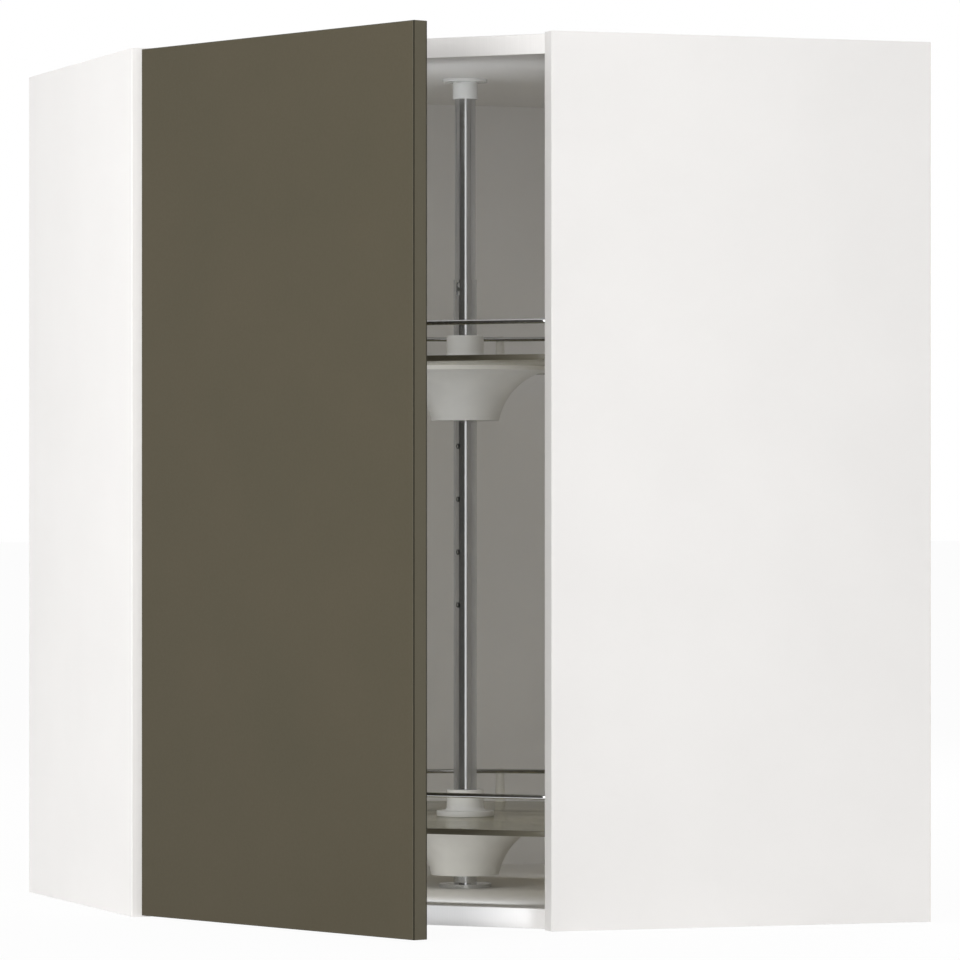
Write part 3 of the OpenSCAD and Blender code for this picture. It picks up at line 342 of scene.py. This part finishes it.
def lined_fibreboard(colour, fibre):
    """Hard fibreboard, painted white towards the room and bare brown behind"""
    finish, tree = new_finish("lined_fibreboard")
    coords = add_node(tree, "ShaderNodeTexCoord").outputs["Object"]
    # Paint lies smooth; the bare side has matted fibres, about 1.5 mm, and darker patches of 60 mm
    mat = grain(tree, coords, 1.5 * MM, 4.0, 0.7)
    patch = grain(tree, coords, 60 * MM, 2.0)
    rough_side = tinted(tree, mat, fibre, shade(fibre, 0.8))
    rough_side = tinted(tree, spread(tree, patch, 0.0, 0.4), rough_side, shade(fibre, 0.85))
    paint = tinted(tree, spread(tree, patch, 0.0, 1.0), colour, shade(colour, 0.99))
    bare = wallward(tree, coords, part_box("back_panel_left")[1][1])
    bump = add_node(tree, "ShaderNodeBump", {"Height": mat, "Distance": 0.05 * MM, "Strength": 0.25})
    shader = add_node(tree, "ShaderNodeBsdfPrincipled", {
        "Base Color": tinted(tree, bare, paint, rough_side),
        "Roughness": math_node(tree, "MULTIPLY_ADD", bare, 0.35, 0.5), "Normal": bump.outputs[0]})
    close_finish(tree, shader)
    return finish


def plastic_edging(colour):
    """ABS edging tape with faint upright extrusion lines"""
    finish, tree = new_finish("abs_edging")
    coords = add_node(tree, "ShaderNodeTexCoord").outputs["Object"]
    # Lines about 1 mm apart and 80 mm long, upright on all four edges
    along = add_node(tree, "ShaderNodeMapping", {"Vector": coords, "Scale": (900, 900, 12)}).outputs[0]
    lines = grain(tree, along, 1.0, 1.0)
    bump = add_node(tree, "ShaderNodeBump", {"Height": lines, "Distance": 0.04 * MM, "Strength": 0.3})
    shader = add_node(tree, "ShaderNodeBsdfPrincipled", {
        "Base Color": tinted(tree, lines, colour, shade(colour, 0.98)),
        "Roughness": spread(tree, lines, 0.46, 0.56), "IOR": 1.5, "Normal": bump.outputs[0]})
    close_finish(tree, shader)
    return finish


def matte_lacquer(colours, sizes):
    """Super matte lacquered board with an edge band painted lighter as painted light, and a dark line painted
    round its edges just behind the front
    """
    finish, tree = new_finish("matte_lacquer")
    coords = add_node(tree, "ShaderNodeTexCoord").outputs["Object"]
    own = add_node(tree, "ShaderNodeMapping", {
        "Vector": coords, "Location": DOOR_AXIS, "Rotation": (0, 0, DOOR_TURN)}, vector_type="TEXTURE")
    place = add_node(tree, "ShaderNodeSeparateXYZ", {0: own.outputs[0]})
    low, high = door_outline()
    # Orange peel of a sprayed lacquer, about 2.5 mm, and the matting agent's fine grain
    peel = grain(tree, coords, 2.5 * MM, 2.0)
    cloud = grain(tree, coords, 120 * MM, 3.0)
    front = tinted(tree, spread(tree, cloud, 0.0, 1.0), colours.door, shade(colours.door, 0.965))
    flank = math_node(tree, "MAXIMUM",
                      math_node(tree, "LESS_THAN", place.outputs["X"], low.x + sizes.band),
                      math_node(tree, "GREATER_THAN", place.outputs["X"], high.x - sizes.band))
    ends = math_node(tree, "MAXIMUM",
                     math_node(tree, "LESS_THAN", place.outputs["Z"], low.z + sizes.band),
                     math_node(tree, "GREATER_THAN", place.outputs["Z"], high.z - sizes.band))
    edge = math_node(tree, "MAXIMUM", flank, ends)
    line = math_node(tree, "MAXIMUM",
                     math_node(tree, "COMPARE", place.outputs["Y"], low.y + sizes.band, sizes.seam),
                     math_node(tree, "COMPARE", place.outputs["Y"], high.y - sizes.band, sizes.seam))
    # A dark line painted round the door's edges, a band's depth in from each broad face
    seam = math_node(tree, "MULTIPLY", line, edge)
    # The edge faces take the lighter edge colour: painted light in place of the light they miss beside the front
    tone = tinted(tree, edge, front, colours.door_edge_lightened)
    tone = tinted(tree, seam, tone, colours.door_edge_line)
    bump = add_node(tree, "ShaderNodeBump", {"Height": peel, "Distance": 0.03 * MM, "Strength": 0.35})
    shader = add_node(tree, "ShaderNodeBsdfPrincipled", {
        "Base Color": tone, "Roughness": spread(tree, peel, 0.62, 0.7), "Specular IOR Level": 0.25,
        "Normal": bump.outputs[0]})
    close_finish(tree, shader)
    return finish


def chrome_plate(colour):
    """Polished chrome on drawn steel tube and wire, with hairline wear"""
    finish, tree = new_finish("chrome_plate")
    coords = add_node(tree, "ShaderNodeTexCoord").outputs["Object"]
    # Hairlines 0.5 mm apart round the tube, drawn out 6 mm along it
    hair = add_node(tree, "ShaderNodeMapping", {"Vector": coords, "Scale": (2000, 2000, 160)}).outputs[0]
    lines = grain(tree, hair, 1.0, 2.0)
    haze = grain(tree, coords, 30 * MM, 2.0)
    wear = math_node(tree, "MULTIPLY", lines, haze)
    shader = add_node(tree, "ShaderNodeBsdfPrincipled", {
        "Base Color": tinted(tree, haze, colour, shade(colour, 0.95)), "Metallic": 0.9,
        "Roughness": add_node(tree, "ShaderNodeMapRange", {
            "Value": wear, "From Min": 0.1, "From Max": 0.5, "To Min": 0.12, "To Max": 0.2}).outputs[0]})
    close_finish(tree, shader)
    return finish


def plated_steel(colour):
    """Pressed steel with dull nickel plating"""
    finish, tree = new_finish("nickel_plated_steel")
    coords = add_node(tree, "ShaderNodeTexCoord").outputs["Object"]
    # Rolling marks of the sheet, about 0.7 mm, and clouds in the plating
    marks = grain(tree, coords, 0.7 * MM, 3.0)
    cloud = grain(tree, coords, 14 * MM, 2.0)
    bump = add_node(tree, "ShaderNodeBump", {"Height": marks, "Distance": 0.02 * MM, "Strength": 0.3})
    shader = add_node(tree, "ShaderNodeBsdfPrincipled", {
        "Base Color": tinted(tree, cloud, colour, shade(colour, 0.88)), "Metallic": 1.0,
        "Roughness": spread(tree, cloud, 0.26, 0.4), "Normal": bump.outputs[0]})
    close_finish(tree, shader)
    return finish


def moulded_plastic(name, colour, rough, texture):
    """Injection-moulded plastic with a spark-eroded skin, as fine as the texture given"""
    finish, tree = new_finish(name)
    coords = add_node(tree, "ShaderNodeTexCoord").outputs["Object"]
    skin = grain(tree, coords, texture, 2.0)
    flow = grain(tree, coords, 25 * MM, 2.0)
    bump = add_node(tree, "ShaderNodeBump", {"Height": skin, "Distance": 0.03 * MM, "Strength": 0.3})
    shader = add_node(tree, "ShaderNodeBsdfPrincipled", {
        "Base Color": tinted(tree, spread(tree, flow, 0.0, 1.0), colour, shade(colour, 0.975)),
        "Roughness": spread(tree, skin, rough - 0.04, rough + 0.04), "IOR": 1.5,
        "Normal": bump.outputs[0]})
    close_finish(tree, shader)
    return finish


def smoked_glass(colours, sizes):
    """Float glass tinted in the melt, toughened, with a ground and polished edge that looks dark"""
    finish, tree = new_finish("smoked_glass")
    coords = add_node(tree, "ShaderNodeTexCoord").outputs["Object"]
    place = add_node(tree, "ShaderNodeSeparateXYZ", {0: coords})
    radius, flat = tray_outline()
    flatwise = add_node(tree, "ShaderNodeMapping", {
        "Vector": coords, "Scale": (1, 1, 0)}).outputs[0]
    from_pole = add_node(tree, "ShaderNodeVectorMath", {0: flatwise}, operation="LENGTH").outputs["Value"]
    forward = add_node(tree, "ShaderNodeVectorMath", {
        0: coords, 1: (-math.sqrt(0.5), -math.sqrt(0.5), 0)}, operation="DOT_PRODUCT").outputs["Value"]
    edge = math_node(tree, "MAXIMUM",
                     math_node(tree, "GREATER_THAN", from_pole, radius - 2 * sizes.arris),
                     math_node(tree, "GREATER_THAN", forward, flat - 2 * sizes.arris))
    # Roller waves of toughened glass, 40 mm apart and barely felt
    wave = grain(tree, coords, 40 * MM, 1.0)
    dust = grain(tree, coords, 1.2 * MM, 2.0)
    bump = add_node(tree, "ShaderNodeBump", {"Height": wave, "Distance": 0.1 * MM, "Strength": 0.25})
    clear = math_node(tree, "MULTIPLY_ADD", edge, -0.75, 0.9)
    shader = add_node(tree, "ShaderNodeBsdfPrincipled", {
        "Base Color": tinted(tree, edge, colours.glass, colours.glass_edge),
        "Roughness": math_node(tree, "MULTIPLY_ADD", edge, 0.3, spread(tree, dust, 0.14, 0.2)),
        "IOR": 1.5, "Transmission Weight": clear,
        "Sheen Weight": 0.12, "Sheen Roughness": 0.5, "Sheen Tint": linear(colours.glass),
        "Normal": bump.outputs[0]})
    # Lamps and bounced light pass straight through, with the tint of both faces
    open_pane = add_node(tree, "ShaderNodeBsdfTransparent", {"Color": linear(colours.glass_pass)})
    path = add_node(tree, "ShaderNodeLightPath")
    bypass = math_node(tree, "MAXIMUM", path.outputs["Is Shadow Ray"], path.outputs["Is Diffuse Ray"])
    mixed = add_node(tree, "ShaderNodeMixShader", {
        0: bypass, 1: shader.outputs[0], 2: open_pane.outputs[0]})
    close_finish(tree, mixed)
    return finish


def turned_beech(colour):
    """Beech dowel with fine flecks"""
    finish, tree = new_finish("beech_dowel")
    coords = add_node(tree, "ShaderNodeTexCoord").outputs["Object"]
    # Flecks of about 1 mm
    fleck = grain(tree, coords, 1 * MM, 3.0)
    bump = add_node(tree, "ShaderNodeBump", {"Height": fleck, "Distance": 0.1 * MM, "Strength": 0.4})
    shader = add_node(tree, "ShaderNodeBsdfPrincipled", {
        "Base Color": tinted(tree, fleck, colour, shade(colour, 0.8)),
        "Roughness": spread(tree, fleck, 0.6, 0.75), "Normal": bump.outputs[0]})
    close_finish(tree, shader)
    return finish


def eased(name, width, finish):
    """Rounds the sharp edges of a copy of a CAD node, and lets the copy stand for it"""
    mesh = NODES[name].data.copy()
    piece = bpy.data.objects.new(name + "_eased", mesh)
    mesh.name = piece.name
    bpy.context.scene.collection.objects.link(piece)
    bpy.ops.object.select_all(action="DESELECT")
    piece.select_set(True)
    bpy.context.view_layer.objects.active = piece
    bpy.ops.object.mode_set(mode="EDIT")
    bpy.ops.mesh.select_all(action="SELECT")
    bpy.ops.mesh.remove_doubles(threshold=MERGE_DISTANCE)
    bpy.ops.mesh.dissolve_limited(angle_limit=FLAT_ANGLE)
    bpy.ops.object.mode_set(mode="OBJECT")
    ease = piece.modifiers.new("ease", "BEVEL")
    ease.width = width
    ease.segments = 3
    ease.limit_method = "ANGLE"
    ease.angle_limit = SHARP_ANGLE
    ease.use_clamp_overlap = True
    bpy.ops.object.modifier_apply(modifier="ease")
    bpy.ops.object.shade_smooth_by_angle(angle=SMOOTH_ANGLE)
    body = next(b for b, nodes in frame["record"]["behaviour"]["bodies"].items() if name in nodes)
    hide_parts(name)
    settle(piece, finish, body)


def door_outline():
    """Lowest and highest corner of the door board in the door's own frame about its axis"""
    turned = Matrix.Rotation(-DOOR_TURN, 3, "Z")
    points = [turned @ (v.co - DOOR_AXIS) for v in NODES["door_board"].data.vertices]
    low = Vector([min(p[i] for p in points) for i in range(3)])
    high = Vector([max(p[i] for p in points) for i in range(3)])
    return low, high


def tray_outline():
    """Radius of a tray and the distance of its flat from the pole"""
    points = [v.co.xy for v in NODES["upper_tray"].data.vertices]
    return max(p.length for p in points), max(-(p.x + p.y) * math.sqrt(0.5) for p in points)


# Operators: one for each group of pieces

class CABINET_OT_boards(bpy.types.Operator):
    """Faces the panels with melamine foil and edging"""
    bl_idname = "cabinet.boards"
    bl_label = "Dress Boards"

    def execute(self, context):
        colours = context.scene.cabinet_finishes
        dress(melamine_board(colours.board, colours.chips), "side_panel_left", "side_panel_right",
              "top_panel", "bottom_panel")
        dress(lined_fibreboard(colours.board, colours.fibre), "back_panel_left", "back_panel_right")
        dress(plastic_edging(colours.edging), "side_edging_left", "side_edging_right", "top_edging",
              "bottom_edging")
        dress(turned_beech(colours.beech), "panel_dowels")
        return {"FINISHED"}


class CABINET_OT_door(bpy.types.Operator):
    """Lacquers the door, paints its edge band lighter as painted light, and paints a dark line round its edges"""
    bl_idname = "cabinet.door"
    bl_label = "Dress Door"

    def execute(self, context):
        dress(matte_lacquer(context.scene.cabinet_finishes, context.scene.cabinet_sizes), "door_board")
        return {"FINISHED"}


class CABINET_OT_fittings(bpy.types.Operator):
    """Plates the hinges, brackets, cams and screws"""
    bl_idname = "cabinet.fittings"
    bl_label = "Dress Fittings"

    def execute(self, context):
        colours = context.scene.cabinet_finishes
        steel = plated_steel(colours.steel)
        listed = [entry["node"] for entry in frame["record"]["subparts"]
                  if entry["material_slot"] == "steel"]
        dress(steel, *listed)
        sizes = context.scene.cabinet_sizes
        for name in EASED_STEEL:
            eased(name, sizes.sheet_edge, steel)
        for level in ("upper", "lower"):
            adjusting_screws(level, sizes.adjuster, steel)
        return {"FINISHED"}


def adjusting_screws(level, radius, finish):
    """The side and depth adjusting screws in the channel of a hinge's arm"""
    low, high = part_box(f"hinge_arm_{level}")
    height = (low[2] + high[2]) / 2
    back = high[1]
    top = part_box("hinge_arm_screws")[1][0] - SCREW_HEAD
    for role, inset in ADJUSTER_INSETS:
        head = begin(bpy.ops.mesh.primitive_cylinder_add, f"hinge_{role}_screw_{level}", vertices=32,
                     radius=radius, depth=SCREW_HEAD,
                     location=(top + SCREW_HEAD / 2, back - inset, height),
                     rotation=(0, math.radians(90), 0))
        bpy.ops.object.transform_apply(location=True, rotation=True, scale=True)
        rim = head.modifiers.new("rim", "BEVEL")
        rim.width = SCREW_HEAD / 4
        rim.segments = 3
        bpy.ops.object.modifier_apply(modifier="rim")
        for turn in (45, 135):
            slot = begin(bpy.ops.mesh.primitive_cube_add, "slot_cutter", size=1,
                         location=(top + SCREW_HEAD, back - inset, height),
                         rotation=(math.radians(turn), 0, 0),
                         scale=(SCREW_HEAD, 1.3 * radius, 0.3 * radius))
            cut = head.modifiers.new("slot", "BOOLEAN")
            cut.object = slot
            cut.operation = "DIFFERENCE"
            bpy.context.view_layer.objects.active = head
            bpy.ops.object.modifier_apply(modifier="slot")
            bpy.data.objects.remove(slot)
        bpy.context.view_layer.objects.active = head
        head.select_set(True)
        bpy.ops.object.shade_smooth_by_angle(angle=SMOOTH_ANGLE)
        settle(head, finish, "cabinet")


class CABINET_OT_pole(bpy.types.Operator):
    """Plates the pole and its base, and gives the cap its white plastic"""
    bl_idname = "cabinet.pole"
    bl_label = "Dress Pole"

    def execute(self, context):
        colours = context.scene.cabinet_finishes
        dress(chrome_plate(colours.chrome), "pole_base", "pole_lower_tube", "pole_upper_tube",
              "lower_rail", "upper_rail")
        white = moulded_plastic("gloss_white_abs", colours.cap, 0.22, 3 * MM)
        sizes = context.scene.cabinet_sizes
        for name in ("pole_top_cap", "pole_top_plate"):
            eased(name, sizes.sheet_edge, white)
        dress(moulded_plastic("grey_acetal", colours.sliding, 0.4, 1.5 * MM), "thrust_rings")
        return {"FINISHED"}


class CABINET_OT_trays(bpy.types.Operator):
    """Makes the trays smoked glass, and their hubs and posts moulded plastic"""
    bl_idname = "cabinet.trays"
    bl_label = "Dress Trays"

    def execute(self, context):
        colours = context.scene.cabinet_finishes
        sizes = context.scene.cabinet_sizes
        glass = smoked_glass(colours, sizes)
        pale = moulded_plastic("pale_polypropylene", colours.plastic, 0.4, 1.2 * MM)
        dress(pale, "back_corner_strip", "door_bumpers")
        for level in ("lower", "upper"):
            eased(f"{level}_tray", sizes.arris, glass)
            for part in ("rail_posts", "collar", "funnel"):
                eased(f"{level}_{part}", sizes.plastic_edge, pale)
        return {"FINISHED"}


class CABINET_OT_stage(bpy.types.Operator):
    """Sets the floor, the light and the camera"""
    bl_idname = "cabinet.stage"
    bl_label = "Set Stage"

    def execute(self, context):
        scene = context.scene
        stage = scene.cabinet_stage
        floor = begin(bpy.ops.mesh.primitive_plane_add, "studio_floor", size=FLOOR_SIZE,
                      location=(0, 0, -FLOOR_DROP))
        floor.data.materials.append(studio_white("studio_floor_white", stage.backdrop, stage.bounce))
        for name, place, power in LARGE_LAMPS:
            large = lamp(name, place, SOFT_BOX_AIM, SOFT_BOX, getattr(stage, power))
            large.visible_camera = False
            # Seen low across the top, the back light's gloss would bleach the boards
            large.visible_glossy = name != "back_lamp"
        # The door shades the opening and the edges round it: small lamps, unseen in any gloss, fill them
        for name, place, aim, size, power, share in SMALL_LAMPS:
            small = lamp(name, place, aim, size, share * getattr(stage, power))
            small.data.color = linear(SMALL_LAMP_COLOUR)[:3]
            small.visible_camera = False
            small.visible_glossy = False
            small.visible_transmission = False
        light_room(scene, stage.sky)
        camera = bpy.data.cameras.new("photo_camera")
        camera.lens = stage.focal
        camera.sensor_width = SENSOR_WIDTH
        camera.shift_y = stage.shift
        camera.clip_end = 200
        seat = bpy.data.objects.new("photo_camera", camera)
        seat.location = CAMERA_PLACE
        seat.rotation_euler = (math.radians(90), 0, CAMERA_YAW)
        scene.collection.objects.link(seat)
        scene.camera = seat
        scene.view_settings.view_transform = "Standard"
        return {"FINISHED"}


def seen_rays(tree):
    """1 for the rays that show the surroundings: to the camera, in gloss and through glass"""
    path = add_node(tree, "ShaderNodeLightPath")
    return math_node(tree, "MAXIMUM", path.outputs["Is Camera Ray"], math_node(
        tree, "MAXIMUM", path.outputs["Is Glossy Ray"], path.outputs["Is Transmission Ray"]))


def studio_white(name, own, bounce):
    """White paper floor: part of its white is its own light, so that shadows stay soft"""
    finish, tree = new_finish(name)
    coords = add_node(tree, "ShaderNodeTexCoord").outputs["Object"]
    fibre = grain(tree, coords, 4 * MM, 2.0)
    paper = add_node(tree, "ShaderNodeBsdfPrincipled", {
        "Base Color": tinted(tree, spread(tree, fibre, 0.0, 1.0), "#FFFFFF", "#FCFCFC"),
        "Roughness": 0.9})
    glow = add_node(tree, "ShaderNodeEmission", {"Color": (1, 1, 1, 1), "Strength": 1.0})
    seen = seen_rays(tree)
    mixed = add_node(tree, "ShaderNodeMixShader", {
        0: math_node(tree, "MULTIPLY_ADD", seen, own - bounce, bounce), 1: paper.outputs[0],
        2: glow.outputs[0]})
    close_finish(tree, mixed)
    return finish


def light_room(scene, strength):
    """White to the eye, to gloss and through glass, and a plain soft light on the object"""
    world = bpy.data.worlds.new("studio_room")
    world.use_nodes = True
    tree = world.node_tree
    tree.nodes.clear()
    seen = seen_rays(tree)
    white = add_node(tree, "ShaderNodeBackground", {"Color": (1, 1, 1, 1), "Strength": 1.0})
    soft = add_node(tree, "ShaderNodeBackground", {"Color": (1, 1, 1, 1), "Strength": strength})
    mixed = add_node(tree, "ShaderNodeMixShader", {0: seen, 1: soft.outputs[0], 2: white.outputs[0]})
    add_node(tree, "ShaderNodeOutputWorld", {"Surface": mixed.outputs[0]})
    scene.world = world


def lamp(name, place, target, size, power):
    """A soft box of the given width and height that faces a point"""
    light = bpy.data.lights.new(name, "AREA")
    light.shape = "RECTANGLE"
    light.size, light.size_y = size
    light.energy = power
    holder = bpy.data.objects.new(name, light)
    holder.location = place
    holder.rotation_euler = (Vector(target) - Vector(place)).to_track_quat("-Z", "Y").to_euler()
    bpy.context.scene.collection.objects.link(holder)
    return holder


class CABINET_PT_panel(bpy.types.Panel):
    """Sidebar panel with the cabinet's steps"""
    bl_idname = "CABINET_PT_panel"
    bl_label = "Corner Wall Cabinet"
    bl_space_type = "VIEW_3D"
    bl_region_type = "UI"
    bl_category = "Cabinet"

    def draw(self, context):
        layout = self.layout
        for step in STEPS:
            layout.operator(step.bl_idname)
        for group in (context.scene.cabinet_finishes, context.scene.cabinet_sizes,
                      context.scene.cabinet_stage):
            box = layout.box()
            for name in group.__annotations__:
                box.prop(group, name)


STEPS = (CABINET_OT_boards, CABINET_OT_door, CABINET_OT_fittings, CABINET_OT_pole,
         CABINET_OT_trays, CABINET_OT_stage)
CLASSES = (CabinetFinishes, CabinetSizes, CabinetStage, *STEPS, CABINET_PT_panel)


def register():
    for cls in CLASSES:
        bpy.utils.register_class(cls)
    bpy.types.Scene.cabinet_finishes = PointerProperty(type=CabinetFinishes)
    bpy.types.Scene.cabinet_sizes = PointerProperty(type=CabinetSizes)
    bpy.types.Scene.cabinet_stage = PointerProperty(type=CabinetStage)


def unregister():
    del bpy.types.Scene.cabinet_stage
    del bpy.types.Scene.cabinet_sizes
    del bpy.types.Scene.cabinet_finishes
    for cls in reversed(CLASSES):
        bpy.utils.unregister_class(cls)


def main():
    """Runs every step"""
    register()
    bpy.ops.cabinet.boards()
    bpy.ops.cabinet.door()
    bpy.ops.cabinet.fittings()
    bpy.ops.cabinet.pole()
    bpy.ops.cabinet.trays()
    bpy.ops.cabinet.stage()


if __name__ == "__main__":
    main()
